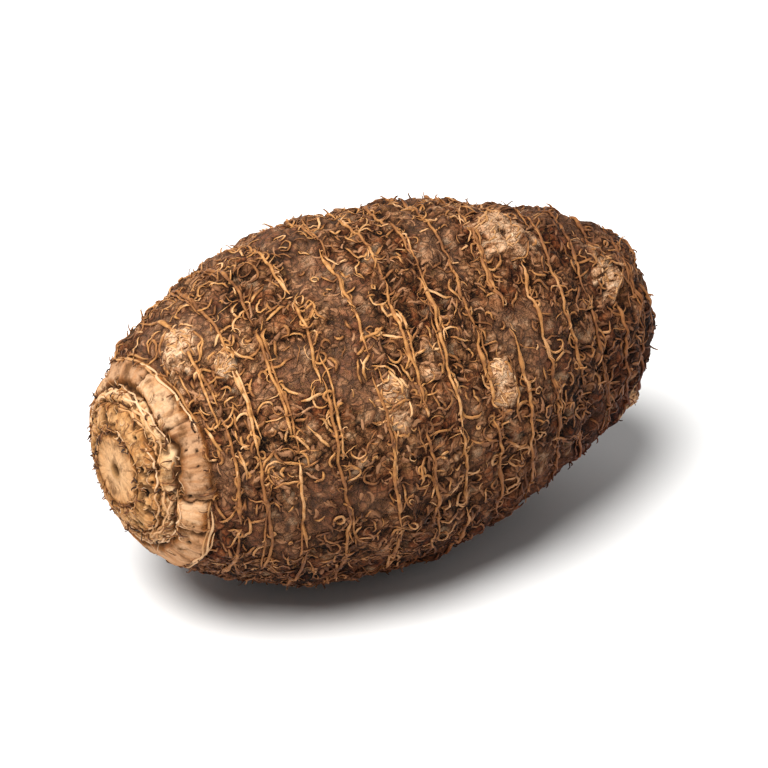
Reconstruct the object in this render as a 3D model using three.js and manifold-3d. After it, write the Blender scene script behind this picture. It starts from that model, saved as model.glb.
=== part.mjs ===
// A taro root of the small eddoe kind: one corm as lifted and trimmed, lying on its side.
// Millimetres, +Z up. The long axis runs along X, with the trimmed crown at -X and the blunt tip at +X.
//
// The corm grew as one piece, so it is one solid. Its skin is the surface of revolution of one outline,
// raised by a formula: the ring scars that leaf bases left, the swellings between them, the stepped crown
// with its plates, and the scars where side corms broke off. Stiff root fibres are joined into it.
import * as THREE from "three";
import { mergeVertices } from "three/addons/utils/BufferGeometryUtils.js";
import Module from "manifold-3d";

const wasm = await Module();
wasm.setup();

// Driving dimensions.
const LENGTH = 120; // crown to tip
const GIRTH_RADIUS = 34.7; // at the belly, before the relief
const AXIS_HEIGHT = 34.9; // of the long axis above the surface that the root lies on
const ORIGIN_SHIFT = { x: -2.05, y: 0.18 }; // brings the origin under the middle of the whole

// The outline from the crown's centre to the tip: x as a share of half the length, radius as a share
// of the belly's.
const OUTLINE = [
  [-0.983, 0],
  [-0.982, 0.115],
  [-0.977, 0.23],
  [-0.953, 0.346],
  [-0.91, 0.455],
  [-0.835, 0.585],
  [-0.747, 0.694],
  [-0.578, 0.85],
  [-0.355, 0.96],
  [-0.088, 0.997],
  [0.178, 0.96],
  [0.4, 0.866],
  [0.578, 0.756],
  [0.728, 0.631],
  [0.845, 0.519],
  [0.927, 0.404],
  [0.977, 0.265],
  [1.002, 0.133],
  [1.01, 0],
];

// Stations are distances along the skin from the crown's centre.
// The crown's steps: station and height of the relief, from the pit past the cut stem to the plates' edge.
const CROWN_STEPS = [
  [0, -1.6],
  [1.1, 0.1],
  [4.2, -0.1],
  [7.3, 0.1],
  [8.1, -0.9],
  [8.9, 0.5],
  [12.7, 0.2],
  [13.7, -0.9],
  [14.5, 0.5],
  [16, 0.3],
  [16.9, -1],
  [17.8, 0.8],
  [20, 0.9],
  [22.2, 0.7],
  [23.1, -0.4],
];
const CROWN_END = 26; // the crown's relief has died away here
const PLATES = { from: 17.3, to: 22.7, count: 9, crack: 1.4, crackHalfWidth: 2.1 };

const RING_STATIONS = [30.5, 37.5, 45, 53.5, 64, 72.2, 79.8, 88, 95.8, 104, 111.5, 119, 126, 132.5, 138.5, 144];
const RING_HEIGHT = 1.05;
const RING_HALF_WIDTH = 1.15;
const SWELLING = 0.7; // how far the skin stands proud half way between two rings

// Scars of side corms: station, angle round the axis from the top in degrees, half sizes along and
// round the root, height, and the depth of the pit that some of them have.
const SCARS = [
  { station: 29.6, angle: -6, along: 4.6, round: 4.8, height: 1.1, pit: 0 },
  { station: 34.6, angle: -25, along: 2.6, round: 2.6, height: 0.8, pit: 0 },
  { station: 101, angle: -14, along: 6, round: 6.5, height: 0.8, pit: 1.8 },
  { station: 124, angle: -36, along: 3.6, round: 5.5, height: 1.1, pit: 2 },
  { station: 87, angle: -67, along: 3, round: 5.5, height: 0.9, pit: 0 },
  { station: 63, angle: -61, along: 2.6, round: 6, height: 0.6, pit: 0 },
  { station: 70, angle: 118, along: 5, round: 5.5, height: 1, pit: 2 },
  { station: 112, angle: 88, along: 4.5, round: 6.5, height: 1, pit: 1.8 },
  { station: 44, angle: 82, along: 4, round: 5, height: 0.9, pit: 0 },
  { station: 92, angle: 152, along: 4, round: 5, height: 0.8, pit: 0 },
  { station: 127, angle: -128, along: 4, round: 4.5, height: 0.9, pit: 1.6 },
];
const PIT_RADIUS = 0.9;

const COLUMNS = 56; // faces round the root
const FIBRES = { count: 112, radius: 0.5, sunk: 1.4, length: 2.6, lift: 1.5 };
const FLOOR_CLEARANCE = 2.6; // no fibre starts nearer to the floor than this

const radians = (degrees) => (degrees * Math.PI) / 180;
const smooth = (from, to, value) => THREE.MathUtils.smoothstep(value, from, to);

const meridian = new THREE.SplineCurve(
  OUTLINE.map(([x, r]) => new THREE.Vector2((x * LENGTH) / 2, r * GIRTH_RADIUS)),
);
meridian.arcLengthDivisions = 3000;
const MERIDIAN_LENGTH = meridian.getLength();

// A smooth uneven value from about -1 to 1 at a point: five plane waves in spread directions.
function lumps(point, wavelength, seed) {
  const waves = 5;
  let sum = 0;
  for (let i = 0; i < waves; i++) {
    const climb = 1 - (2 * i + 1) / waves;
    const turn = 2.4 * i + seed;
    const flat = Math.sqrt(1 - climb * climb);
    const along = point.x * flat * Math.cos(turn) + point.y * flat * Math.sin(turn) + point.z * climb;
    sum += Math.sin((2 * Math.PI * along * (1 + 0.17 * i)) / wavelength + 1.7 * seed + 2.1 * i);
  }
  return sum / 2.2;
}

// The rings don't lie in flat planes: how far one strays along the skin at an angle.
function stray(station, angle) {
  const share = smooth(20, 45, station) * (1 - smooth(104, 148, station));
  const edge = smooth(14, 22, station) * (1 - smooth(22, 36, station));
  return share * (3 * Math.sin(angle) + 1.6 * Math.sin(2 * angle)) - 1.6 * edge * Math.sin(angle);
}

function crownRelief(station, angle) {
  if (station >= CROWN_END) return 0;
  const last = CROWN_STEPS.length - 1;
  let next = CROWN_STEPS.findIndex(([at]) => at > station);
  if (next < 0) next = last + 1;
  const [fromAt, fromHeight] = CROWN_STEPS[next - 1];
  const [toAt, toHeight] = next > last ? [CROWN_END, 0] : CROWN_STEPS[next];
  let height = THREE.MathUtils.mapLinear(station, fromAt, toAt, fromHeight, toHeight);
  if (station > PLATES.from && station < PLATES.to) {
    const radius = meridian.getPointAt(station / MERIDIAN_LENGTH).y;
    for (let plate = 0; plate < PLATES.count; plate++) {
      const joint = radians((360 / PLATES.count) * plate + 9 * Math.sin(2.4 * plate));
      const off = Math.abs(Math.atan2(Math.sin(angle - joint), Math.cos(angle - joint))) * radius;
      height -= PLATES.crack * Math.max(0, 1 - off / PLATES.crackHalfWidth);
    }
  }
  return height;
}

// The cord on each ring, and the swelling between this ring and the next.
function ringRelief(station, angle) {
  const first = RING_STATIONS[0];
  const stops = [CROWN_STEPS.at(-1)[0], ...RING_STATIONS, MERIDIAN_LENGTH + 4];
  const next = stops.findIndex((at) => at > station);
  if (next < 1) return 0;
  const share = (station - stops[next - 1]) / (stops[next] - stops[next - 1]);
  let height = SWELLING * Math.sin(Math.PI * share) * smooth(first - 8, first, station);
  RING_STATIONS.forEach((at, ring) => {
    const off = Math.abs(station - at) / RING_HALF_WIDTH;
    const strength = 0.78 + 0.3 * Math.sin(3 * angle + 1.9 * ring) * Math.cos(angle - ring);
    if (off < 1) height += RING_HEIGHT * strength * (1 - off);
  });
  return height;
}

function scarRelief(along, angle, radius) {
  let height = 0;
  for (const scar of SCARS) {
    const turn = angle - radians(scar.angle);
    const round = Math.atan2(Math.sin(turn), Math.cos(turn)) * radius;
    const off = Math.hypot((along - scar.station) / scar.along, round / scar.round);
    height += scar.height * (1 - smooth(0.7, 1.15, off));
  }
  return height;
}

// The point of the skin at a station and an angle, with the direction that faces out there.
function skin(station, angle) {
  const along = THREE.MathUtils.clamp(station + stray(station, angle), 0, MERIDIAN_LENGTH);
  const at = meridian.getPointAt(along / MERIDIAN_LENGTH);
  const way = meridian.getTangentAt(along / MERIDIAN_LENGTH);
  const oval = 1 + 0.016 * Math.cos(2 * angle + 0.5) + 0.012 * Math.cos(3 * angle + 1.2);
  const facing = { x: -way.y, r: way.x };
  const base = new THREE.Vector3(at.x, at.y * oval * Math.sin(angle), at.y * oval * Math.cos(angle));
  const fade = Math.min(1, at.y / 8) * smooth(16, 30, along);
  const height =
    crownRelief(station, angle) +
    ringRelief(station, angle) +
    scarRelief(along, angle, at.y) +
    fade * (0.5 * lumps(base, 31, 1) + 0.34 * lumps(base, 13, 2) + 0.26 * lumps(base, 6.5, 3));
  const out = new THREE.Vector3(facing.x, facing.r * Math.sin(angle), facing.r * Math.cos(angle));
  const point = base.addScaledVector(out, height);
  point.z += AXIS_HEIGHT;
  return { point, out };
}

// A closed mesh as a solid of the joining library, with its shared vertices merged.
function solid(geometry) {
  const bare = geometry.clone().deleteAttribute("normal").deleteAttribute("uv");
  const merged = mergeVertices(bare, 1e-4);
  return new wasm.Manifold(
    new wasm.Mesh({
      numProp: 3,
      vertProperties: merged.attributes.position.array,
      triVerts: new Uint32Array(merged.index.array),
    }),
  );
}

// The rows of the skin's mesh: one at each step of the crown, three on each ring, one between two rings.
function rows() {
  const stations = CROWN_STEPS.map(([at]) => at);
  let last = stations.at(-1);
  for (const ring of RING_STATIONS) {
    const start = ring - RING_HALF_WIDTH;
    stations.push((last + start) / 2, start, ring, ring + RING_HALF_WIDTH);
    last = ring + RING_HALF_WIDTH;
  }
  stations.push((last + MERIDIAN_LENGTH) / 2, MERIDIAN_LENGTH);
  return stations;
}

// The skin starts as a lathe of its outline, and each vertex then moves to its place on the relief.
function body() {
  const stations = rows();
  const outline = stations.map((at) => meridian.getPointAt(Math.min(1, at / MERIDIAN_LENGTH)));
  const geometry = new THREE.LatheGeometry(
    outline.map(({ x, y }) => new THREE.Vector2(y, x)),
    COLUMNS,
  );
  const places = geometry.attributes.position;
  for (let column = 0; column <= COLUMNS; column++) {
    const angle = (-(column % COLUMNS) * 2 * Math.PI) / COLUMNS;
    stations.forEach((station, row) => {
      const isPole = row === 0 || row === stations.length - 1;
      const { point } = skin(station, isPole ? 0 : angle);
      places.setXYZ(column * stations.length + row, point.x, point.y, point.z);
    });
  }
  return solid(geometry);
}

// One stiff three-sided root fibre, sunk into the skin and bending over as it leaves it.
function fibre(station, angle, lean, size) {
  const { point, out } = skin(station, angle);
  const round = new THREE.Vector3(0, Math.cos(angle), -Math.sin(angle));
  const alongSkin = new THREE.Vector3().crossVectors(round, out);
  const sideways = round.multiplyScalar(Math.cos(lean)).addScaledVector(alongSkin, Math.sin(lean));
  const width = new THREE.Vector3().crossVectors(sideways, out);
  const reach = FIBRES.length * size;
  const geometry = new THREE.ConeGeometry(FIBRES.radius, 1, 3, 2);
  const places = geometry.attributes.position;
  for (let i = 0; i < places.count; i++) {
    const share = places.getY(i) + 0.5;
    const rise = -FIBRES.sunk + (FIBRES.sunk + FIBRES.lift * size) * Math.sin((Math.PI / 2) * share);
    const place = point
      .clone()
      .addScaledVector(out, rise)
      .addScaledVector(sideways, reach * share * share + places.getX(i))
      .addScaledVector(width, places.getZ(i));
    places.setXYZ(i, place.x, place.y, place.z);
  }
  return solid(geometry);
}

// Fibres spread evenly by the golden angle, and most of them stand on the nearest ring.
function fibres() {
  const goldenAngle = Math.PI * (3 - Math.sqrt(5));
  const found = [];
  for (let i = 0; i < FIBRES.count; i++) {
    const share = (i + 0.5) / FIBRES.count;
    const angle = i * goldenAngle;
    const free = THREE.MathUtils.lerp(RING_STATIONS[0] - 8, MERIDIAN_LENGTH - 9, share);
    const ring = RING_STATIONS.reduce((a, b) => (Math.abs(b - free) < Math.abs(a - free) ? b : a));
    const station = i % 4 === 3 ? free : ring;
    const lean = 2.1 * i + 3 * Math.sin(1.3 * i);
    if (skin(station, angle).point.z > FLOOR_CLEARANCE)
      found.push(fibre(station, angle, lean, 1 + 0.35 * Math.sin(4.7 * i)));
  }
  return found;
}

// The dark pit in the middle of some scars, as a six-sided cone to cut away.
function pits() {
  return SCARS.filter(({ pit }) => pit > 0).map((scar) => {
    const { point, out } = skin(scar.station - stray(scar.station, radians(scar.angle)), radians(scar.angle));
    const geometry = new THREE.ConeGeometry(PIT_RADIUS * 1.5, scar.pit * 2, 6);
    const turn = new THREE.Quaternion().setFromUnitVectors(new THREE.Vector3(0, -1, 0), out);
    geometry.applyQuaternion(turn).translate(point.x, point.y, point.z);
    return solid(geometry);
  });
}

// What would lie below the surface that the root rests on, which leaves a small flat spot.
function floor() {
  const depth = 20;
  const slab = new THREE.BoxGeometry(2 * LENGTH, 2 * LENGTH, depth);
  slab.translate(0, 0, -depth / 2);
  return solid(slab);
}

function corm() {
  let whole = body();
  for (const pit of pits()) whole = whole.subtract(pit);
  for (const one of fibres()) whole = whole.add(one);
  whole = whole.subtract(floor());
  const { vertProperties, triVerts } = whole.getMesh();
  const geometry = new THREE.BufferGeometry();
  geometry.setAttribute("position", new THREE.BufferAttribute(vertProperties, 3));
  geometry.setIndex(new THREE.BufferAttribute(triVerts, 1));
  geometry.computeVertexNormals();
  const skinMaterial = new THREE.MeshStandardMaterial({ color: 0x6f5138, roughness: 0.9, metalness: 0 });
  const mesh = new THREE.Mesh(geometry, skinMaterial);
  mesh.name = "corm";
  mesh.position.set(ORIGIN_SHIFT.x, ORIGIN_SHIFT.y, 0);
  return mesh;
}

const taroRoot = new THREE.Group();
taroRoot.add(corm());

export default taroRoot;
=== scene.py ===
# A taro root of the small eddoe kind, dressed for rendering: its corky bark with the ring scars and the
# trimmed crown, and the dry fibres that lie and stand on it. Lengths are in millimetres, and become metres
# when a mesh is made. The long axis runs along X, with the crown at -X and the tip at +X.
import math

import bpy
import numpy as np
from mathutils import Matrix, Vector, kdtree, noise


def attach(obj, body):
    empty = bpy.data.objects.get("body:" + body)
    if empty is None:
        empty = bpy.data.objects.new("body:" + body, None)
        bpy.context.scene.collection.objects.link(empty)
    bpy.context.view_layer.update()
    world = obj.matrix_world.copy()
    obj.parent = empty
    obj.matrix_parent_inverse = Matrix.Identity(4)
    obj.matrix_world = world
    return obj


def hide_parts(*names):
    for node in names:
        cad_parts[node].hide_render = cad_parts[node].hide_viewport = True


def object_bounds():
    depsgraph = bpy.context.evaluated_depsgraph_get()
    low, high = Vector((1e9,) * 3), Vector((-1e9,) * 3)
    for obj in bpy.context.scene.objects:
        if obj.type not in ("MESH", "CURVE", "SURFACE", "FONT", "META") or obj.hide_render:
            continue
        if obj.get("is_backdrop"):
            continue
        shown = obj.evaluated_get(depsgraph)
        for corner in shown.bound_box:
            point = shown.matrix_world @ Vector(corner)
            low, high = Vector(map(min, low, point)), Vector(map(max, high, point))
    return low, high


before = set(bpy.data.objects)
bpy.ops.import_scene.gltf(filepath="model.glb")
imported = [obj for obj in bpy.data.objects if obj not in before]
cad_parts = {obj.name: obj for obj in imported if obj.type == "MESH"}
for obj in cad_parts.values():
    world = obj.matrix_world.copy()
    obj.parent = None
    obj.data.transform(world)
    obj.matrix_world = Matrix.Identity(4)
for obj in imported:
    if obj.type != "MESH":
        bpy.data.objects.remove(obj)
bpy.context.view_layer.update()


# The corm
# A swollen underground stem that grew as one piece. Leaf bases left a ring scar at each joint, the leaves
# were cut off at the crown, and side corms broke away from the round scars. Its skin is dry, corky bark.

# The outline from the crown's centre to the tip: x as a share of the half length, and the radius as one of
# the half thickness.
HALF_LENGTH, HALF_THICKNESS = 60, 34.7
OUTLINE = np.array([
    (-0.983, 0), (-0.982, 0.115), (-0.977, 0.23), (-0.953, 0.346), (-0.91, 0.455), (-0.835, 0.585),
    (-0.747, 0.694), (-0.578, 0.85), (-0.355, 0.96), (-0.088, 0.997), (0.178, 0.96), (0.4, 0.866),
    (0.578, 0.756), (0.728, 0.631), (0.845, 0.519), (0.927, 0.404), (0.977, 0.265), (1.002, 0.133),
    (1.01, 0),
]) * (HALF_LENGTH, HALF_THICKNESS)
AXIS_CENTRE = (-2.05, 0.18, 34.9)
FULL_TURN = 2 * math.pi

# Stations are distances along the skin from the crown's centre. The crown steps down in dry rings round
# the cut stem: the stem's face, a fibrous band, a narrow rim, and the plates at the edge.
CROWN_STATIONS = [0, 0.8, 1.3, 4.2, 7.4, 8.1, 8.8, 12.8, 13.6, 14.4, 16.1, 16.9, 17.7, 20, 22.3, 23.1, 26]
CROWN_HEIGHTS = [-1.9, -1.5, 0, -0.1, 0.1, -0.4, 0.3, 0.1, -0.4, 0.25, 0.1, -0.6, 0.6, 0.9, 0.6, -0.3, 0]
CROWN_EDGE, CROWN_END = CROWN_STATIONS[-2:]
PLATES_FROM, PLATES_TO, PLATE_COUNT = 17.3, 22.7, 9
CRACK_DEPTH, HOLE_DEPTH, BROKEN_DEPTH = 0.7, 0.6, 0.7
PETAL_COUNT, PETAL_DEPTH = 8, 0.3
TIP_SCAR_DEPTH = 0.9
RING_STATIONS = [30.5, 37.5, 45, 53.5, 64, 72.2, 79.8, 88, 95.8, 104, 111.5, 119, 126, 132.5, 138.5, 144]
RING_HEIGHT, RING_HALF_WIDTH, SWELLING = 0.5, 1, 0.7
GROOVE_BEYOND_RING, GROOVE_HALF_WIDTH, GROOVE_DEPTH = 1.5, 0.9, 0.5

# The scars of side corms: station, degrees from the top, half sizes along and round, height, pit's depth.
SCARS = [
    (29.6, -6, 4.6, 4.8, 1.1, 0), (34.6, -25, 2.6, 2.6, 0.8, 0), (101, -14, 6, 6.5, 0.8, 1.8),
    (124, -36, 3.6, 5.5, 1.1, 2), (87, -67, 3, 5.5, 0.9, 0), (63, -61, 2.6, 6, 0.6, 0),
    (70, 118, 5, 5.5, 1, 2), (112, 88, 4.5, 6.5, 1, 1.8), (44, 82, 4, 5, 0.9, 0),
    (92, 152, 4, 5, 0.8, 0), (127, -128, 4, 4.5, 0.9, 1.6),
]
PIT_RADIUS = 0.9


def outline_at(places):
    """The outline's smooth curve, at places counted in outline points."""
    last = len(OUTLINE) - 1
    first = np.minimum(places.astype(int), last - 1)
    share = (places - first)[:, None]
    before, start, end, after = (OUTLINE[np.clip(first + step, 0, last)] for step in (-1, 0, 1, 2))
    leave, arrive = (end - before) / 2, (after - start) / 2
    cubic = (2 * start - 2 * end + leave + arrive) * share**3
    return cubic + (3 * end - 3 * start - 2 * leave - arrive) * share**2 + leave * share + start


MERIDIAN_POINTS = 8001
MERIDIAN = outline_at(np.linspace(0, len(OUTLINE) - 1, MERIDIAN_POINTS))
MERIDIAN_AT = np.concatenate([[0], np.cumsum(np.hypot(*np.diff(MERIDIAN, axis=0).T))])
MERIDIAN_LENGTH = MERIDIAN_AT[-1]
MERIDIAN_WAY = np.gradient(MERIDIAN, MERIDIAN_AT, axis=0)


def smooth(start, end, value):
    """Rises smoothly from 0 at start to 1 at end."""
    share = np.clip((value - start) / (end - start), 0, 1)
    return share * share * (3 - 2 * share)


def turn_between(angle, centre):
    """The turn from centre to angle, from minus half a turn to half a turn."""
    return (angle - centre + np.pi) % FULL_TURN - np.pi


def lumps(points, wavelength, seed):
    """The corm's broad unevenness, from about -1 to 1: five plane waves in spread directions."""
    total, waves = 0, 5
    for i in range(waves):
        climb = 1 - (2 * i + 1) / waves
        turn, flat = 2.4 * i + seed, math.sqrt(1 - climb * climb)
        along = points @ np.array([flat * math.cos(turn), flat * math.sin(turn), climb])
        total = total + np.sin(FULL_TURN * along * (1 + 0.17 * i) / wavelength + 1.7 * seed + 2.1 * i)
    return total / 2.2


def noisy(points, size, seed, octaves=1):
    """Noise from about -1 to 1 whose broadest features are size millimetres across."""
    places = (points.reshape(-1, 3) / size + (7.1 * seed, 3.3 * seed, 5.7 * seed)).tolist()
    return np.array([noise.fractal(p, 0.8, 2.1, octaves) for p in places]).reshape(points.shape[:-1])


def stray(station, angle):
    """How far a ring strays along the skin, because the rings don't lie in flat planes."""
    share = smooth(20, 45, station) * (1 - smooth(104, 148, station))
    edge = smooth(14, 22, station) * (1 - smooth(22, 36, station))
    return share * (3 * np.sin(angle) + 1.6 * np.sin(2 * angle)) - 1.6 * edge * np.sin(angle)


# Dark holes of dried-out vessels, strewn over three bands of the crown. Each band gives the stations that
# it runs between, the holes' radii and how many there are. Each hole has a station, an angle and a radius.
HOLE_BANDS = [(9.4, 12.8, (0.35, 0.85), 26), (14.6, 16.2, (0.25, 0.45), 14), (18.4, 22, (0.25, 0.5), 20)]
crown_draw = np.random.default_rng(3)
CROWN_HOLES = [
    (crown_draw.uniform(low, high), crown_draw.uniform(0, FULL_TURN), crown_draw.uniform(*radii))
    for low, high, radii, count in HOLE_BANDS
    for _ in range(count)
]


def crown_relief(base, radius, station, angle):
    """The crown's height, the station in its ragged steps, which plate it is, cracks and pits."""
    # The steps are ragged where the leaf bases tore, and the plates are of uneven height.
    crown_share = smooth(1.5, 7, station)
    torn = crown_share * (1.3 * noisy(base, 6.5, 20) + 0.6 * noisy(base, 2.4, 21, 2))
    plate_numbers = np.arange(PLATE_COUNT)
    even_joints = 360 / PLATE_COUNT * plate_numbers
    joints = np.radians(even_joints + 9 * np.sin(2.4 * plate_numbers))
    torn_angle = angle + 0.09 * torn
    joint = np.min(np.abs([turn_between(torn_angle, at) * radius for at in joints]), axis=0)
    plate = np.searchsorted(np.sort(joints), torn_angle % FULL_TURN) % PLATE_COUNT
    torn = torn + 0.9 * smooth(15, 18, station) * np.sin(3.7 * plate)
    crown_station = station + torn * (1 - smooth(24, 28, station))
    height = np.interp(crown_station, CROWN_STATIONS, CROWN_HEIGHTS)
    on_plates = smooth(PLATES_FROM - 0.5, PLATES_FROM, crown_station)
    on_plates = on_plates * (1 - smooth(PLATES_TO, PLATES_TO + 0.5, crown_station))
    height = height + on_plates * (0.7 * smooth(0, 3, joint) - 0.3 + 0.25 * np.sin(5.1 * plate))

    # Cracks part the plates, and fine ones cross them.
    fine_joints = np.radians(even_joints + 21 + 7 * np.sin(5.3 * plate_numbers))
    torn_angle = angle + 0.12 * torn
    fine_joint = np.min(np.abs([turn_between(torn_angle, at) * radius for at in fine_joints]), axis=0)
    crack = 1 - smooth(0.05, 0.5, joint)
    crack = on_plates * np.maximum(crack, 0.6 - 0.6 * smooth(0.05, 0.35, fine_joint))

    # Holes where vessels dried out, broken fibre on the inner rings, and petals round the stem's face.
    pit = np.zeros_like(station)
    for hole_station, hole_angle, hole_radius in CROWN_HOLES:
        away = np.hypot(station - hole_station, turn_between(angle, hole_angle) * radius)
        pit = np.maximum(pit, 1 - smooth(0.5, 1.2, away / hole_radius))
    broken = smooth(0.12, 0.3, noisy(base, 3.4, 27, 3))
    broken = broken * smooth(8.4, 9.4, station) * (1 - smooth(16.6, 17.2, station))
    petals = (1 - np.abs(np.sin(PETAL_COUNT * angle + 1.5 * noisy(base, 5, 24)))) ** 3
    height = height - CRACK_DEPTH * crack - HOLE_DEPTH * pit - BROKEN_DEPTH * broken
    height = height - PETAL_DEPTH * petals * smooth(3, 6.5, station) * (1 - smooth(7.2, 7.8, station))
    return height, crown_station, plate, np.maximum(crack, 0.8 * broken), pit


def with_rings(height, station, angle):
    """The height with a low ridge on each ring and the swelling between rings, and the grooves beyond."""
    stops = np.array([CROWN_EDGE, *RING_STATIONS, MERIDIAN_LENGTH + 4])
    place = np.clip(np.searchsorted(stops, station, side="right"), 1, len(stops) - 1)
    share = np.clip((station - stops[place - 1]) / (stops[place] - stops[place - 1]), 0, 1)
    first = RING_STATIONS[0]
    height = height + SWELLING * np.sin(np.pi * share) * smooth(first - 8, first, station)
    groove = np.zeros_like(station)
    for i, at in enumerate(RING_STATIONS):
        strength = 0.78 + 0.3 * np.sin(3 * angle + 1.9 * i) * np.cos(angle - i)
        beyond = station - at
        height = height + RING_HEIGHT * strength * np.clip(1 - np.abs(beyond) / RING_HALF_WIDTH, 0, 1)
        from_groove = np.abs(beyond - GROOVE_BEYOND_RING)
        groove = groove + strength * np.clip(1 - from_groove / GROOVE_HALF_WIDTH, 0, 1)
    return height - GROOVE_DEPTH * groove, groove


def with_scars(height, pit, base, radius, along, angle):
    """The height and the pits with the round scars of side corms, and how pale their worn faces are."""
    pale = np.zeros_like(along)
    wear = 0.75 * noisy(base, 4.2, 22, 3)
    for scar_station, degrees, half_along, half_round, rise, depth in SCARS:
        round_skin = turn_between(angle, math.radians(degrees)) * radius
        off = np.hypot((along - scar_station) / half_along, round_skin / half_round)
        height = height + rise * (1 - smooth(0.7, 1.15, off))
        pale = np.maximum(pale, min(1, 1.25 * rise - 0.2) * (1 - smooth(0.76, 0.98, off + wear)))
        if depth:
            hole = 1 - smooth(0.4, 1.3, np.hypot(along - scar_station, round_skin) / PIT_RADIUS)
            height = height - depth * hole
            pit = np.maximum(pit, hole)
    return height, pit, pale


def skin(station, angle):
    """The bark's points, the directions that face out there, and what the bark is like there."""
    along = np.clip(station + stray(station, angle), 0, MERIDIAN_LENGTH)
    x, radius, way_x, way_r = (
        np.interp(along, MERIDIAN_AT, column) for column in (*MERIDIAN.T, *MERIDIAN_WAY.T)
    )
    size = np.hypot(way_x, way_r)
    way_x, way_r = way_x / size, way_r / size
    oval = 1 + 0.016 * np.cos(2 * angle + 0.5) + 0.012 * np.cos(3 * angle + 1.2)
    base = np.stack([x, radius * oval * np.sin(angle), radius * oval * np.cos(angle)], -1)
    out = np.stack([-way_r, way_x * np.sin(angle), way_x * np.cos(angle)], -1)
    height, crown_station, plate, crack, pit = crown_relief(base, radius, station, angle)

    # The scar at the tip, where the corm broke away from its parent.
    from_tip = MERIDIAN_LENGTH - along + 0.9 * noisy(base, 4, 25, 2)
    tip_scar = 1 - smooth(4.3, 5.2, from_tip)
    height = height - TIP_SCAR_DEPTH * tip_scar + 0.4 * tip_scar * noisy(base, 1.8, 26, 2)
    height, groove = with_rings(height, station, angle)
    height, pit, pale = with_scars(height, pit, base, radius, along, angle)

    # The bark: patches of cork about three millimetres across, with creases between them, which the crown
    # and the scars lack. It is worn smooth in calm places, and flaked off in pale flecks.
    fade = np.minimum(1, radius / 8) * smooth(16, 30, along)
    uneven = 0.5 * lumps(base, 31, 1) + 0.34 * lumps(base, 13, 2) + 0.26 * lumps(base, 6.5, 3)
    height = height + fade * uneven
    wander = np.stack([noisy(base, 4.5, seed) for seed in (1, 2, 3)], -1)
    folds = np.abs(noisy(base + 1.6 * wander, 3.3, 4))
    crease = 1 - smooth(0.02, 0.13, folds)
    patch = smooth(0.04, 0.4, folds)
    scales = noisy(base, 2.2, 5, 2)
    calm = smooth(0, 0.36, noisy(base, 13, 278))
    rough = smooth(22.4, 24.5, crown_station) * (1 - 0.75 * pale)
    cork = 0.26 * patch + (1 - 0.4 * calm) * (0.26 * scales - 0.22 * crease) - 0.15
    height = height + (0.15 + 0.85 * rough) * cork
    # The tone follows the relief: lighter on the patches and scales, darker in the creases and in the
    # grooves beyond the rings. It is painted light and shade.
    tone = (1 - 0.3 * calm) * (0.45 * patch + 0.6 * scales - 0.45 * crease) + 0.08 * calm
    fleck = smooth(0.42, 0.52, noisy(base, 4.4, 28, 2))
    fleck = fleck * smooth(28, 31, station) * (1 - smooth(140, 146, station))

    points = base + out * height[..., None] + AXIS_CENTRE
    marks = {
        "station": crown_station, "painted_relief_shading": 0.22 + tone - 0.55 * groove, "calm": calm, "pale": pale,
        "fleck": fleck, "pit": pit, "crack": crack, "sine": np.sin(angle), "cosine": np.cos(angle),
        "tip_scar": tip_scar, "plate_tone": 0.5 + 0.5 * np.sin(2.9 * plate + 1),
    }
    return points, out, marks


def linear(colour):
    """An sRGB hex colour as linear red, green, blue and alpha."""
    parts = (int(colour[i : i + 2], 16) / 255 for i in (1, 3, 5))
    return (*(p / 12.92 if p <= 0.04045 else ((p + 0.055) / 1.055) ** 2.4 for p in parts), 1)


def emptied(owner):
    """A new material or world, without the nodes that it comes with."""
    owner.use_nodes = True
    owner.node_tree.nodes.clear()
    return owner


def add(owner, kind, inputs=None, out=0, stops=(), **settings):
    """Adds a node and gives its output. An input that is given another node's output is linked to it."""
    tree = owner.node_tree
    made = tree.nodes.new("ShaderNode" + kind)
    for name, value in settings.items():
        setattr(made, name, value)
    for name, value in (inputs or {}).items():
        if isinstance(value, bpy.types.NodeSocket):
            tree.links.new(value, made.inputs[name])
        else:
            made.inputs[name].default_value = linear(value) if isinstance(value, str) else value
    for i, (place, colour) in enumerate(stops):
        ramp = made.color_ramp.elements
        stop = ramp[i] if i < 2 else ramp.new(place)
        stop.position, stop.color = place, linear(colour)
    return made.outputs[out] if made.outputs else None


def painted_under_and_tip_shade(material, place, colour, amount=1.0):
    """The colour with painted shade: darker on the underside and towards the tip."""
    under = add(material, "MapRange", {
        "Value": add(material, "SeparateXYZ", {0: place}, out="Z"),
        "From Min": 0.004, "From Max": 0.05, "To Min": 0.85, "To Max": 0.0,
    })
    towards_tip = add(material, "MapRange", {
        "Value": add(material, "SeparateXYZ", {0: place}, out="X"),
        "From Min": -0.012, "From Max": 0.05, "To Min": 0.0, "To Max": 0.55,
    })
    both = add(material, "Math", {0: under, 1: towards_tip}, operation="ADD", use_clamp=True)
    share = add(material, "Math", {0: both, 1: amount}, operation="MULTIPLY")
    # The colour multiplied in here is the painted shade.
    layers = {"Fac": share, "Color1": colour, "Color2": "#80552e"}
    return add(material, "MixRGB", layers, blend_type="MULTIPLY")


METRES_PER_MM = 0.001


def piece(name, corners, faces, marks, material):
    """A piece of the root from corners in millimetres. Marks are numbers at the corners for the material."""
    mesh = bpy.data.meshes.new(name)
    mesh.from_pydata((corners * METRES_PER_MM).tolist(), [], faces)
    mesh.shade_smooth()
    for mark, values in marks.items():
        mesh.attributes.new(mark, "FLOAT", "POINT").data.foreach_set("value", values.astype(np.float32))
    mesh.materials.append(material)
    made = bpy.data.objects.new(name, mesh)
    bpy.context.scene.collection.objects.link(made)
    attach(made, "root")
    return made
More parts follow.
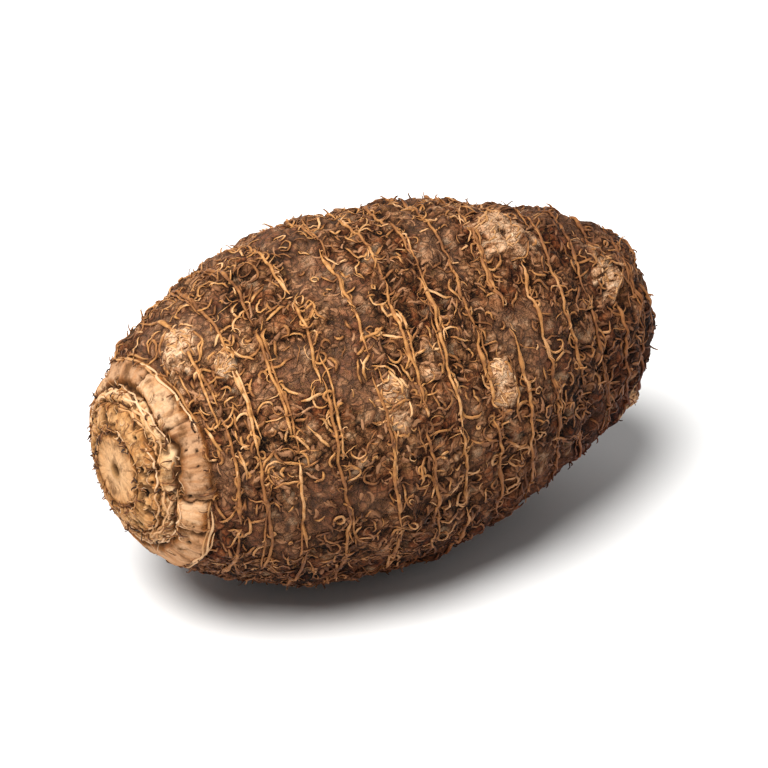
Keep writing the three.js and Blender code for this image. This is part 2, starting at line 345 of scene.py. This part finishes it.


# Corky bark: dead, dry, air-filled cells. It scatters light evenly and hardly shines. Its colour is painted
# darker in its creases and lighter, with a greyish purple cast, on its ridges: painted shade and painted
# light.
bark = emptied(bpy.data.materials.new("dry_corky_bark"))
PER_MM = 1000  # a texture's scale for features a millimetre across
place = add(bark, "TexCoord", out="Object")
station, painted_relief_shading, calm, pale, fleck, pit, crack, sine, cosine, tip_scar, plate_tone, strand_shadow = (
    add(bark, "Attribute", out="Fac", attribute_name=mark)
    for mark in (
        "station", "painted_relief_shading", "calm", "pale", "fleck", "pit", "crack", "sine", "cosine", "tip_scar",
        "plate_tone", "strand_shadow",
    )
)
grain = add(bark, "TexNoise", {
    "Vector": place, "Scale": PER_MM / 0.9, "Detail": 5, "Roughness": 0.65, "Distortion": 0.6,
})
broad = add(bark, "TexNoise", {"Vector": place, "Scale": PER_MM / 26, "Detail": 2})
broad_tone = add(bark, "Math", {0: broad, 1: 0.6, 2: -0.64}, operation="MULTIPLY_ADD")
grain_tone = add(bark, "Math", {0: grain, 1: 1.3, 2: broad_tone}, operation="MULTIPLY_ADD")
# The relief's painted light and painted shade are added to the bark's tone here.
tone_with_relief_shading = add(bark, "Math", {0: painted_relief_shading, 1: 0.55, 2: grain_tone}, operation="MULTIPLY_ADD")
bark_colour = add(bark, "ValToRGB", {"Fac": tone_with_relief_shading}, stops=[
    (0.1, "#190c05"), (0.26, "#3f2410"), (0.44, "#6f4629"), (0.62, "#9a6a45"), (0.8, "#bd8c62"),
    (1.0, "#dbb189"),
])

# Warm brown patches, the dark edges of the cork's scales, and hair-thin fibres grown into the bark.
patches = add(bark, "TexNoise", {"Vector": place, "Scale": PER_MM / 11, "Detail": 3, "Roughness": 0.6})
warm = add(bark, "MapRange", {"Value": patches, "From Min": 0.43, "From Max": 0.61})
bend = add(bark, "TexNoise", {"Vector": place, "Scale": PER_MM / 1.8, "Detail": 3}, out="Color")
bent_place = add(bark, "MixRGB", {"Fac": 0.0016, "Color1": place, "Color2": bend}, blend_type="ADD")
edge_distance = add(
    bark, "TexVoronoi", {"Vector": bent_place, "Scale": PER_MM / 2.4}, feature="DISTANCE_TO_EDGE",
)
scale_edge = add(bark, "MapRange", {"Value": edge_distance, "From Max": 0.11, "To Min": 1.0, "To Max": 0.0})
threads = add(bark, "TexNoise", {"Vector": place, "Scale": PER_MM / 1.7, "Detail": 1.5, "Distortion": 1.6})
from_thread = add(bark, "Math", {0: threads, 1: 0.5}, operation="SUBTRACT")
thread_off = add(bark, "Math", {0: from_thread}, operation="ABSOLUTE")
thread = add(bark, "MapRange", {"Value": thread_off, "From Min": 0.035, "From Max": 0.0})
# Beside the cords and curls the bark is darkened: painted shadow.
for mark, most, colour, blend in (
    (warm, 0.8, "#b97c48", "MULTIPLY"), (scale_edge, 0.75, "#2a180d", "MIX"), (calm, 0.3, "#8f6d57", "MIX"),
    (strand_shadow, 0.8, "#6b4428", "MULTIPLY"), (thread, 0.4, "#b5814f", "MIX"),
):
    share = add(bark, "Math", {0: mark, 1: most}, operation="MULTIPLY")
    layers = {"Fac": share, "Color1": bark_colour, "Color2": colour}
    bark_colour = add(bark, "MixRGB", layers, blend_type=blend)

# The crown's cut faces are pale and starchy, and dark between its rings. Streaks of a millimetre or so run
# outwards over them, along the vessels, and each plate has its own tint.
crown_at = add(bark, "MapRange", {"Value": station, "From Max": CROWN_END})
crown_colour = add(bark, "ValToRGB", {"Fac": crown_at}, stops=[
    (0.02, "#1f1209"), (0.035, "#4f3118"), (0.055, "#ab8052"), (0.1, "#d8aa7b"), (0.25, "#cd9b69"),
    (0.28, "#a87543"), (0.3, "#4a2e17"), (0.318, "#5a391f"), (0.335, "#b5824d"), (0.42, "#d6a570"),
    (0.5, "#c08951"), (0.517, "#6a4424"), (0.53, "#4a2e17"), (0.55, "#d3a26c"), (0.62, "#e6bd8f"),
    (0.638, "#5a391f"), (0.655, "#2a190c"), (0.675, "#a57243"), (0.71, "#e2bb94"), (0.84, "#d8af88"),
    (0.87, "#a8703c"), (0.9, "#5a3921"), (0.95, "#3a2619"),
])
streak_x, streak_y, streak_z = (
    add(bark, "Math", {0: part, 1: stretch}, operation="MULTIPLY")
    for part, stretch in ((sine, 11), (cosine, 11), (station, 0.16))
)
streak_place = add(bark, "CombineXYZ", {"X": streak_x, "Y": streak_y, "Z": streak_z})
streaks = add(bark, "TexNoise", {
    "Vector": streak_place, "Scale": 1.0, "Detail": 4, "Roughness": 0.6, "Distortion": 0.4,
})
streak_share = add(bark, "MapRange", {
    "Value": station, "From Min": 5, "From Max": 9, "To Min": 0.25, "To Max": 0.7,
})
streak_tint = add(bark, "ValToRGB", {"Fac": streaks}, stops=[
    (0.3, "#7a5030"), (0.44, "#ecd6ba"), (0.56, "#ffffff"),
])
plate_share = add(bark, "MapRange", {"Value": station, "From Min": 16.8, "From Max": 17.6, "To Max": 0.55})
plate_tint = add(bark, "ValToRGB", {"Fac": plate_tone}, stops=[
    (0.0, "#a47a54"), (0.6, "#e2cab0"), (1.0, "#f6eee4"),
])
stains = add(bark, "TexNoise", {"Vector": place, "Scale": PER_MM / 3.2, "Detail": 4, "Roughness": 0.62})
stain_share = add(bark, "MapRange", {"Value": stains, "From Min": 0.49, "From Max": 0.65, "To Max": 0.8})
for share, colour, blend in (
    (streak_share, streak_tint, "MULTIPLY"), (plate_share, plate_tint, "MULTIPLY"),
    (stain_share, "#5a381b", "MIX"),
):
    layers = {"Fac": share, "Color1": crown_colour, "Color2": colour}
    crown_colour = add(bark, "MixRGB", layers, blend_type=blend)

# The scars are pale and fibrous. They, the tip's scar, cracks and pits lie over the crown and the bark.
long_place = add(bark, "Mapping", {"Vector": place, "Scale": (0.3, 1, 1)})
scar_streaks = add(bark, "TexNoise", {
    "Vector": long_place, "Scale": PER_MM / 1.3, "Detail": 5, "Roughness": 0.62, "Distortion": 0.8,
})
scar_colour = add(bark, "ValToRGB", {"Fac": scar_streaks}, stops=[
    (0.37, "#36200e"), (0.42, "#94643f"), (0.49, "#d2a077"), (0.58, "#e8bd94"), (0.75, "#f2d3b1"),
])
bare = add(bark, "Math", {0: fleck, 1: 0.27, 2: pale}, operation="MULTIPLY_ADD", use_clamp=True)
tip_colour = add(bark, "ValToRGB", {"Fac": stains}, stops=[
    (0.35, "#a9794e"), (0.5, "#7d5535"), (0.62, "#3a2415"),
])
beyond_crown = add(bark, "MapRange", {"Value": station, "From Min": 22.6, "From Max": 23.6})
skin_colour = crown_colour
# The bark and the scars take the painted shade on the underside and towards the tip.
for share, colour in (
    (beyond_crown, painted_under_and_tip_shade(bark, place, bark_colour)), (tip_scar, tip_colour),
    (bare, painted_under_and_tip_shade(bark, place, scar_colour, 0.3)), (crack, "#4a2e1a"), (pit, "#170d07"),
):
    skin_colour = add(bark, "MixRGB", {"Fac": share, "Color1": skin_colour, "Color2": colour})

# Relief too fine for the mesh: the scales and thin fibres of the bark, and the scars' and crown's streaks.
scale_height = add(bark, "Math", {0: scale_edge, 1: -1.1, 2: thread}, operation="MULTIPLY_ADD")
bark_height = add(bark, "Math", {0: scale_height, 1: beyond_crown}, operation="MULTIPLY")
scar_height = add(bark, "Math", {0: scar_streaks, 1: bare}, operation="MULTIPLY")
fine_height = grain
for height, strength in ((scar_height, 1.2), (streaks, 0.5), (bark_height, 0.6)):
    fine_height = add(bark, "Math", {0: height, 1: strength, 2: fine_height}, operation="MULTIPLY_ADD")
bark_bump = add(bark, "Bump", {"Height": fine_height, "Strength": 1.0, "Distance": 0.0005})
bark_surface = add(bark, "BsdfPrincipled", {
    "Base Color": skin_colour, "Roughness": 0.8, "Specular IOR Level": 0.1, "Normal": bark_bump,
})
add(bark, "OutputMaterial", {"Surface": bark_surface})

# One row of corners at each station, closer together on the crown, where the relief is finer.
crown_step, bark_step, column_count = 0.3, 0.61, 328
row_stations = np.concatenate([
    np.arange(crown_step, CROWN_END, crown_step),
    np.arange(CROWN_END, MERIDIAN_LENGTH - crown_step, bark_step),
])
column_angles = np.arange(column_count) * FULL_TURN / column_count
row_grid, column_grid = np.meshgrid(row_stations, column_angles, indexing="ij")
all_stations = np.concatenate([[0], row_grid.ravel(), [MERIDIAN_LENGTH]])
all_angles = np.concatenate([[0], column_grid.ravel(), [0]])
corm_corners, _, corm_marks = skin(all_stations, all_angles)
corm_corners[:, 2] = np.maximum(corm_corners[:, 2], 0)
numbers = 1 + np.arange(row_grid.size).reshape(row_grid.shape)
beside = np.roll(numbers, -1, axis=1)
corm_faces = np.stack([numbers[:-1], numbers[1:], beside[1:], beside[:-1]], -1).reshape(-1, 4).tolist()
corm_faces += [(0, int(a), int(b)) for a, b in zip(numbers[0], beside[0])]
corm_faces += [(row_grid.size + 1, int(b), int(a)) for a, b in zip(numbers[-1], beside[-1])]
corm = piece("corm_bark", corm_corners, corm_faces, corm_marks, bark)
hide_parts("corm")


# Ring cords
# The veins of each leaf base dried to tough cords that run round the root on its ring scar, wavy, knotted
# and broken in places. They are grown together with the bark.
def radius_at(stations):
    return np.interp(stations, MERIDIAN_AT, MERIDIAN[:, 1])


def shares(steps):
    """How far along its strand each step lies, from 0 to 1, as one row."""
    return np.linspace(0, 1, steps)[None]


def thinned(share, least, rate):
    """A strand's thickness along its length, as a share that falls to the least one at both ends."""
    return np.minimum(1, least + rate * np.minimum(share, 1 - share))


OFF_FLOOR = 0.03  # strands are pressed flat this far above the floor


def strands(name, centres, out, half_widths, half_heights, sides, shades, material):
    """Makes a piece of closed strands with an oval section: each row of centres is one strand."""
    ahead = np.gradient(centres, axis=1)
    ahead /= np.linalg.norm(ahead, axis=-1, keepdims=True)
    across = np.cross(ahead, out)
    across /= np.linalg.norm(across, axis=-1, keepdims=True)
    up = np.cross(across, ahead)
    turns = FULL_TURN * (np.arange(sides) + 0.25) / sides
    section = (
        across[:, :, None] * (np.cos(turns)[:, None] * half_widths[..., None, None])
        + up[:, :, None] * (np.sin(turns)[:, None] * half_heights[..., None, None])
    )
    corners = centres[:, :, None] + section
    corners[..., 2] = np.maximum(corners[..., 2], OFF_FLOOR)
    count, steps = centres.shape[:2]
    numbers = np.arange(count * steps * sides).reshape(count, steps, sides)
    here, there = numbers[:, :-1], numbers[:, 1:]
    faces = np.stack([here, there, np.roll(there, -1, 2), np.roll(here, -1, 2)], -1).reshape(-1, 4).tolist()
    faces += numbers[:, 0].tolist() + numbers[:, -1, ::-1].tolist()
    tones = np.broadcast_to(shades.reshape(count, -1, 1), (count, steps, sides)).ravel()
    piece(name, corners.reshape(-1, 3), faces, {"shade": tones}, material)


# Dry root fibre: dead vascular strands, tough and thread-like. Straw to brown, matt with a faint lustre
# along the strand, weathered in places, and no two of the same tone.
fibre = emptied(bpy.data.materials.new("dry_root_fibre"))
place = add(fibre, "TexCoord", out="Object")
shade = add(fibre, "Attribute", out="Fac", attribute_name="shade")
mottle = add(fibre, "TexNoise", {"Vector": place, "Scale": PER_MM / 1.5, "Detail": 3})
weathering = add(fibre, "TexNoise", {"Vector": place, "Scale": PER_MM / 5, "Detail": 2})
weathered = add(fibre, "Math", {0: weathering, 1: 1.1, 2: -0.98}, operation="MULTIPLY_ADD")
strand_tone = add(fibre, "Math", {0: shade, 1: weathered}, operation="ADD")
tone = add(fibre, "Math", {0: mottle, 1: 0.9, 2: strand_tone}, operation="MULTIPLY_ADD")
fibre_colour = add(fibre, "ValToRGB", {"Fac": tone}, stops=[
    (0.0, "#38200e"), (0.25, "#683e1f"), (0.5, "#986336"), (0.75, "#bf864b"), (1.0, "#e0ad79"),
])
fibre_bump = add(fibre, "Bump", {"Height": mottle, "Strength": 0.4, "Distance": 0.00015})
# The fibre takes the painted shade on the underside and towards the tip.
fibre_surface = add(fibre, "BsdfPrincipled", {
    "Base Color": painted_under_and_tip_shade(fibre, place, fibre_colour), "Roughness": 0.62, "Specular IOR Level": 0.25,
    "Normal": fibre_bump,
})
add(fibre, "OutputMaterial", {"Surface": fibre_surface})

# Each ring has long cords end to end, and a few thinner and shorter second ones that stray from it.
cord_draw = np.random.default_rng(11)
cord_steps = 48
cord_rows = []
for ring_station in RING_STATIONS:
    ring_radius = radius_at(ring_station)
    for second, shortening, gaps in ((0, 1, (-1, 4.5)), (1, 0.6, (10, 45))):
        at = cord_draw.uniform(0, FULL_TURN)
        end = at + FULL_TURN
        while at < end:
            length = cord_draw.uniform(14, 42) * shortening * min(1, 0.25 + ring_radius / 30)
            cord_shade = cord_draw.uniform(0.42, 0.77)
            cord_rows.append((ring_station, second, at, length / ring_radius, cord_shade))
            at += (length + cord_draw.uniform(*gaps)) / ring_radius
on_ring, second, start, extent, cord_shades = np.array(cord_rows).T[..., None]
share = shares(cord_steps)
cord_angles = start + extent * share
phase, other_phase, third_phase = cord_draw.uniform(0, FULL_TURN, (len(cord_rows), 3)).T[..., None]
arc = cord_angles * radius_at(on_ring)
cord_stations = (
    on_ring + 0.4 * np.sin(arc / 4.3 + phase) + 0.14 * np.sin(arc / 1.6 + other_phase)
    + 0.07 * np.sin(arc / 0.7 + third_phase) + second * cord_draw.uniform(-1.4, 1.4, (len(cord_rows), 1))
)
cord_points, cord_out, cord_marks = skin(cord_stations, cord_angles)
knots = np.maximum(0, np.sin(arc / 1.9 + other_phase) * np.sin(arc / 3.1 + third_phase)) ** 2
cord_radii = (0.38 - 0.12 * second) * (0.85 + 0.7 * knots) * thinned(share, 0.2, 6)
cord_lift = 0.2 + 0.12 * np.sin(arc / 1.3 + phase) - 1.3 * cord_marks["pale"]
cord_points = cord_points + cord_out * cord_lift[..., None]
strands("ring_cords", cord_points, cord_out, cord_radii, cord_radii * 0.85, 5, cord_shades, fibre)


# Crown strips
# What is left of the leaf bases' edges: thin pale strips of dry fibre, still grown to the steps of the crown
# that they run round, and torn off in places.

# Torn fibre: strands from inside the stem that were laid open not long ago. They are paler than the dry
# fibre of the skin, and take only a little of the painted shade on the underside and towards the tip.
torn_fibre = emptied(bpy.data.materials.new("pale_torn_fibre"))
place = add(torn_fibre, "TexCoord", out="Object")
shade = add(torn_fibre, "Attribute", out="Fac", attribute_name="shade")
torn_colour = add(torn_fibre, "ValToRGB", {"Fac": shade}, stops=[
    (0.3, "#7a4e2a"), (0.5, "#a8743f"), (0.7, "#c8945f"), (0.9, "#dcb082"), (1.0, "#e9c7a2"),
])
torn_surface = add(torn_fibre, "BsdfPrincipled", {
    "Base Color": painted_under_and_tip_shade(torn_fibre, place, torn_colour, 0.35), "Roughness": 0.65, "Specular IOR Level": 0.4,
})
add(torn_fibre, "OutputMaterial", {"Surface": torn_surface})

# Each row of strips: its station, their half thickness and how many there are.
STRIP_ROWS = [(13.3, 0.22, 12), (15.3, 0.28, 12), (16.5, 0.2, 10), (23.2, 0.26, 14), (8, 0.16, 7)]
strip_draw = np.random.default_rng(19)
crown_radius, strip_steps = 14, 30
strips = np.array([
    (
        at + strip_draw.uniform(-0.6, 0.6), strip_draw.uniform(0, FULL_TURN),
        strip_draw.uniform(5, 17) / crown_radius, size,
    )
    for at, size, count in STRIP_ROWS
    for _ in range(count)
])
strip_at, start, extent, strip_size = strips.T[..., None]
share = shares(strip_steps)
strip_angles = start + extent * share
strip_stations = (
    strip_at + 0.5 * np.sin(4.1 * strip_angles + 9 * start) + 0.25 * np.sin(17 * strip_angles + 5 * start)
)
strip_points, strip_out, _ = skin(strip_stations, strip_angles)
strip_radii = strip_size * thinned(share, 0.3, 5) * (1 + 0.25 * np.sin(23 * strip_angles))
strands(
    "crown_strips", strip_points + 0.15 * strip_out, strip_out, strip_radii, strip_radii * 1.2, 5,
    strip_draw.uniform(0.5, 0.95, len(strips)), torn_fibre,
)


# Curled fibres
# Frayed leaf-base fibres that dried in curls and lie all over the bark, many of them rooted in a ring.
# They come in three thicknesses, and short torn ones lie on the crown.
def scattered(count, low, high, draw):
    """Stations and angles spread evenly over the bark between two stations, each a little off its place."""
    at = np.linspace(low, high, 2000)
    area = np.cumsum(radius_at(at) + 1)
    order = draw.permutation(count)
    stations = np.interp((order + 0.5) / count, area / area[-1], at)
    # Each place is a golden angle further round than the last, which keeps them evenly apart.
    angles = order * math.pi * (3 - math.sqrt(5)) + draw.normal(0, 0.04, count)
    return stations + draw.normal(0, 0.6, count), angles


def nearest_rings(stations):
    return np.array(RING_STATIONS)[np.argmin(np.abs(stations[:, None] - RING_STATIONS), axis=1)]


def crept(stations, angles, headings, lengths, curls, steps, draw, wobble=0.25):
    """Stations and angles along fibres that creep over the bark from where they start, and turn."""
    step = lengths / (steps - 1)
    rows = [(stations, angles)]
    for _ in range(steps - 1):
        stations, angles = rows[-1]
        rows.append((
            np.clip(stations + step * np.cos(headings), 0.5, MERIDIAN_LENGTH - 0.5),
            angles + step * np.sin(headings) / np.maximum(radius_at(stations), 3),
        ))
        headings = headings + curls / (steps - 1) + draw.normal(0, wobble, len(headings))
    return (np.stack(values, -1) for values in zip(*rows))


def blunted(share):
    """A strand's thickness along its length, as a share that is even and falls to 0.4 at both ends."""
    return 1 - 0.6 * (2 * share - 1) ** 4


FLOOR_CLEARANCE = 0.8  # strands that come closer to the floor are left out
lying_points = [cord_points.reshape(-1, 3)]
curl_draw = np.random.default_rng(23)
# Each kind: how many, steps along each, half thicknesses, lengths, tones and the most that they lift off.
for name, count, steps, radii, lengths, tones, most_lift in (
    ("crown_fibres", 300, 7, (0.06, 0.13), (1.2, 3.4), (0.35, 1), 0.15),
    ("tan_curls", 1250, 11, (0.22, 0.36), (2.5, 7), (0.5, 0.92), 0.22),
    ("brown_curls", 1300, 8, (0.2, 0.34), (2, 5), (0.25, 0.65), 0.1),
    ("fine_fibres", 900, 7, (0.1, 0.16), (2, 5), (0.4, 0.9), 0.25),
):
    on_crown = name == "crown_fibres"
    low, high = (8, 18) if on_crown else (24.5, MERIDIAN_LENGTH - 2)
    stations, angles = scattered(count, low, high, curl_draw)
    rooted_in_ring = curl_draw.random(count) < (0 if on_crown else 0.3)
    stations = np.where(rooted_in_ring, nearest_rings(stations), stations)
    headings = curl_draw.uniform(0, FULL_TURN, count)
    long = curl_draw.uniform(*lengths, count)
    curls = curl_draw.normal(0, 3, count)
    points, out, marks = skin(*crept(stations, angles, headings, long, curls, steps, curl_draw))
    share = shares(steps)
    lift = curl_draw.uniform(0, most_lift, (count, 1)) * np.sin(np.pi * share)
    lift = lift + curl_draw.uniform(0, most_lift, (count, 1)) * share**2
    radius = curl_draw.uniform(*radii, (count, 1)) * blunted(share)
    # None lie on the pale scars, and fewer in the calm places that were worn smooth.
    kept = (points[..., 2].min(axis=1) > FLOOR_CLEARANCE) & (marks["pale"].max(axis=1) < 0.66)
    kept &= on_crown | (curl_draw.random(count) > 0.6 * marks["calm"].mean(axis=1))
    centres = points + out * lift[..., None]
    if name in ("tan_curls", "brown_curls"):
        lying_points.append(centres[kept].reshape(-1, 3))
    # The curls are darker towards both ends, where they meet the bark: painted shade.
    shades = curl_draw.uniform(*tones, (count, 1)) - 0.3 * (1 - np.sin(np.pi * share)) ** 1.5
    strands(
        name, centres[kept], out[kept], radius[kept], radius[kept] * 0.85, 3, shades[kept],
        torn_fibre if on_crown else fibre,
    )


# Scar fibres
# Torn fibre ends where a side corm broke away: some curve round the scar's edge, and short pale ones lie
# all over the scar in the direction that it tore.
rim_draw = np.random.default_rng(17)
rims_each, rim_steps, rim_spacing, rim_radius = 5, 22, 1.26, 0.27
rims = np.array([
    (
        scar_station, math.radians(degrees), half_along * grow, half_round * grow, start,
        start + rim_draw.uniform(0.4, 1.3),
    )
    for scar_station, degrees, half_along, half_round, _, _ in SCARS
    for grow, start in zip(
        rim_draw.uniform(0.85, 1.25, rims_each),
        np.arange(rims_each) * rim_spacing + rim_draw.uniform(0, 1, rims_each),
    )
])
scar_at, scar_angle, half_along, half_round, start, end = rims.T[..., None]
share = shares(rim_steps)
around = start + (end - start) * share
uneven = 1 + 0.09 * np.sin(3.1 * around + 7 * start) + 0.05 * np.sin(9 * around)
rim_along = scar_at + half_along * uneven * np.cos(around)
rim_angles = scar_angle + half_round * uneven * np.sin(around) / radius_at(scar_at)
rim_points, rim_out, _ = skin(rim_along - stray(rim_along, rim_angles), rim_angles)
rim_radii = rim_radius * thinned(share, 0.25, 5) * rim_draw.uniform(0.7, 1.2, (len(rims), 1))
strands(
    "scar_rims", rim_points + 0.1 * rim_out, rim_out, rim_radii, rim_radii, 4,
    rim_draw.uniform(0.5, 0.95, len(rims)), fibre,
)

tear_draw = np.random.default_rng(29)
tears_each, tear_steps = 26, 6
tears = []
for scar_station, degrees, half_along, half_round, _, _ in SCARS:
    off = np.sqrt(tear_draw.random(tears_each)) * 0.95
    around = tear_draw.uniform(0, FULL_TURN, tears_each)
    along = scar_station + half_along * off * np.cos(around)
    angle = math.radians(degrees) + half_round * off * np.sin(around) / radius_at(along)
    headings = tear_draw.uniform(0, np.pi) + tear_draw.normal(0, 0.5, tears_each)
    tears.append((along - stray(along, angle), angle, headings))
count = tears_each * len(SCARS)
points, out, _ = skin(*crept(
    *np.concatenate(tears, axis=1), tear_draw.uniform(0.9, 2.6, count), tear_draw.normal(0, 0.7, count),
    tear_steps, tear_draw,
))
share = shares(tear_steps)
lift = tear_draw.uniform(0, 0.14, (count, 1)) * share**2
radius = tear_draw.uniform(0.1, 0.22, (count, 1)) * blunted(share)
kept = points[..., 2].min(axis=1) > FLOOR_CLEARANCE
strands(
    "scar_fibres", (points + out * lift[..., None])[kept], out[kept], (1.4 * radius)[kept], radius[kept], 4,
    tear_draw.uniform(0.45, 0.88, count)[kept], torn_fibre,
)


# Painted shadow along the strands
# Painted shadow: the bark is darkened beside the cords and the thicker curls, where they would shade it. It
# has no mesh of its own: it is a mark on the corm's corners, which the bark's colour reads.
lying_points = np.concatenate(lying_points)
tree = kdtree.KDTree(len(lying_points))
for number, point in enumerate(lying_points.tolist()):
    tree.insert(point, number)
tree.balance()
away = np.array([tree.find(corner)[2] for corner in corm_corners.tolist()])
strand_shadow_mark = corm.data.attributes.new("strand_shadow", "FLOAT", "POINT")
strand_shadow_mark.data.foreach_set("value", (1 - smooth(0.35, 0.95, away)).astype(np.float32))


# Bark flakes
# Thin chips of the outermost cork, two or three millimetres long, that have come loose at one end and hang
# on to the bark by the other. They lie all over it, fewer where it is worn smooth.

# Loose cork: the bark's own material, worn greyish pink where it stands proud.
cork = emptied(bpy.data.materials.new("loose_cork"))
place = add(cork, "TexCoord", out="Object")
shade = add(cork, "Attribute", out="Fac", attribute_name="shade")
mottle = add(cork, "TexNoise", {"Vector": place, "Scale": PER_MM / 0.8, "Detail": 3})
flake_tone = add(cork, "Math", {0: shade, 1: -0.25}, operation="ADD")
tone = add(cork, "Math", {0: mottle, 1: 0.5, 2: flake_tone}, operation="MULTIPLY_ADD")
cork_colour = add(cork, "ValToRGB", {"Fac": tone}, stops=[
    (0.0, "#2a170c"), (0.25, "#56351e"), (0.5, "#855a3c"), (0.75, "#ad7d58"), (1.0, "#d0a279"),
])
# The loose cork takes the painted shade on the underside and towards the tip.
cork_surface = add(cork, "BsdfPrincipled", {
    "Base Color": painted_under_and_tip_shade(cork, place, cork_colour), "Roughness": 0.72, "Specular IOR Level": 0.15,
})
add(cork, "OutputMaterial", {"Surface": cork_surface})

flake_draw = np.random.default_rng(31)
flake_count, flake_steps, flake_half_thickness = 3600, 5, 0.1
stations, angles = scattered(flake_count, 25, MERIDIAN_LENGTH - 2, flake_draw)
points, out, marks = skin(*crept(
    stations, angles, flake_draw.uniform(0, FULL_TURN, flake_count),
    flake_draw.uniform(1.4, 3.4, flake_count), flake_draw.normal(0, 1.1, flake_count), flake_steps,
    flake_draw, wobble=0.12,
))
share = shares(flake_steps)
flake_outline = np.sin(np.pi * (0.12 + 0.76 * share))
half_width = flake_draw.uniform(0.25, 0.65, (flake_count, 1)) * flake_outline
lift = flake_draw.uniform(0, 0.22, (flake_count, 1)) * share**2 - 0.05
kept = (points[..., 2].min(axis=1) > FLOOR_CLEARANCE) & (marks["pale"].max(axis=1) < 0.7)
kept &= flake_draw.random(flake_count) > 0.5 * marks["calm"].mean(axis=1)
strands(
    "bark_flakes", (points + out * lift[..., None])[kept], out[kept], half_width[kept],
    np.full_like(half_width, flake_half_thickness)[kept], 4,
    flake_draw.uniform(0.25, 0.75, flake_count)[kept], cork,
)


# Standing stubs
# Short broken ends of roots and fibres, still rooted in the bark that they stand off, most of them along the
# rings, and a fringe of torn fibre ends round each step of the crown.
stub_draw = np.random.default_rng(41)
bark_stub_count, stub_steps, stub_clearance = 900, 5, 1.5
stations, angles = scattered(bark_stub_count, 25, MERIDIAN_LENGTH - 1, stub_draw)
on_rings = stub_draw.random(bark_stub_count) < 0.6
ring_places = nearest_rings(stations) + stub_draw.normal(0, 0.4, bark_stub_count)
stations = np.where(on_rings, ring_places, stations)
fringe_stations = np.repeat([8.1, 13.7, 16.8, 23.2], [70, 90, 90, 150])
stations = np.concatenate([stations, fringe_stations + stub_draw.normal(0, 0.25, fringe_stations.size)])
angles = np.concatenate([angles, stub_draw.uniform(0, FULL_TURN, fringe_stations.size)])
count = stations.size
points, out, _ = skin(*crept(
    stations, angles, stub_draw.uniform(0, FULL_TURN, count), stub_draw.uniform(0.8, 2.6, count),
    stub_draw.normal(0, 1.2, count), stub_steps, stub_draw,
))
share = shares(stub_steps)
on_bark = np.arange(count) < bark_stub_count
rise = stub_draw.uniform(0.4, 1.7, (count, 1)) * np.where(on_bark, 1, 0.7)[:, None]
radius = stub_draw.uniform(0.16, 0.34, (count, 1)) * (1 - 0.6 * share)
kept = points[..., 2].min(axis=1) > stub_clearance
centres = points + out * (rise * np.sin(np.pi / 2 * share) - 0.15)[..., None]
shades = stub_draw.uniform(0.3, 0.9, count) - np.where(on_bark, 0, 0.25)
strands(
    "standing_stubs", centres[kept], out[kept], radius[kept], radius[kept], 3, shades[kept], fibre,
)


# The studio
# A plain pale surface, a broad soft light from the upper left of the camera, weak ones from the right and
# from behind, and a long lens at the angle that the root is seen from. Lengths here are in metres.
floor_material = emptied(bpy.data.materials.new("pale_matt_surface"))
floor_surface = add(floor_material, "BsdfPrincipled", {
    "Base Color": "#efeeec", "Roughness": 0.7, "Specular IOR Level": 0.2,
})
add(floor_material, "OutputMaterial", {"Surface": floor_surface})
floor_mesh = bpy.data.meshes.new("floor")
half_floor = 6
floor_corners = [(x * half_floor, y * half_floor, 0) for x, y in ((-1, -1), (1, -1), (1, 1), (-1, 1))]
floor_mesh.from_pydata(floor_corners, [], [(0, 1, 2, 3)])
floor_mesh.materials.append(floor_material)
floor = bpy.data.objects.new("floor", floor_mesh)
bpy.context.scene.collection.objects.link(floor)
floor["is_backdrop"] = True

# The walls of the studio are bright near the horizon and dim overhead.
world = emptied(bpy.data.worlds.new("studio"))
upward = add(world, "SeparateXYZ", {0: add(world, "TexCoord", out="Generated")}, out="Z")
walls = add(world, "MapRange", {
    "Value": upward, "From Min": 0.03, "From Max": 0.16, "To Min": 1.06, "To Max": 0.17,
})
add(world, "OutputWorld", {0: add(world, "Background", {"Color": "#fdfdff", "Strength": walls})})
bpy.context.scene.world = world
bpy.context.scene.view_settings.view_transform = "Standard"


def aimed(name, data, azimuth, elevation, distance):
    """Puts a lamp or the camera round the root, aimed at its middle. Azimuth 0 is at -Y and 90 at +X."""
    middle = Vector((0.0, 0.0, 0.034))
    a, e = math.radians(azimuth), math.radians(elevation)
    away = distance * Vector((math.sin(a) * math.cos(e), -math.cos(a) * math.cos(e), math.sin(e)))
    made = bpy.data.objects.new(name, data)
    made.location = middle + away
    made.rotation_euler = (made.location - middle).to_track_quat("Z", "Y").to_euler()
    bpy.context.scene.collection.objects.link(made)
    return made


# Each lamp: its azimuth and elevation, how many degrees wide it looks from the root, and its strength.
for name, azimuth, elevation, width, strength in (
    ("key", -74, 66, 40, 5.4), ("fill", 95, 30, 60, 0.3), ("back", 165, 45, 50, 0.4),
):
    lamp = bpy.data.lights.new(name, "SUN")
    lamp.angle, lamp.energy = math.radians(width), strength
    aimed(name, lamp, azimuth, elevation, 1)

camera = bpy.data.cameras.new("camera")
camera.lens, camera.sensor_width = 387, 36
camera.clip_start, camera.clip_end = 0.1, 30
bpy.context.scene.camera = aimed("camera", camera, -31.8, 33, 1.623)

bpy.context.view_layer.update()
low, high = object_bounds()
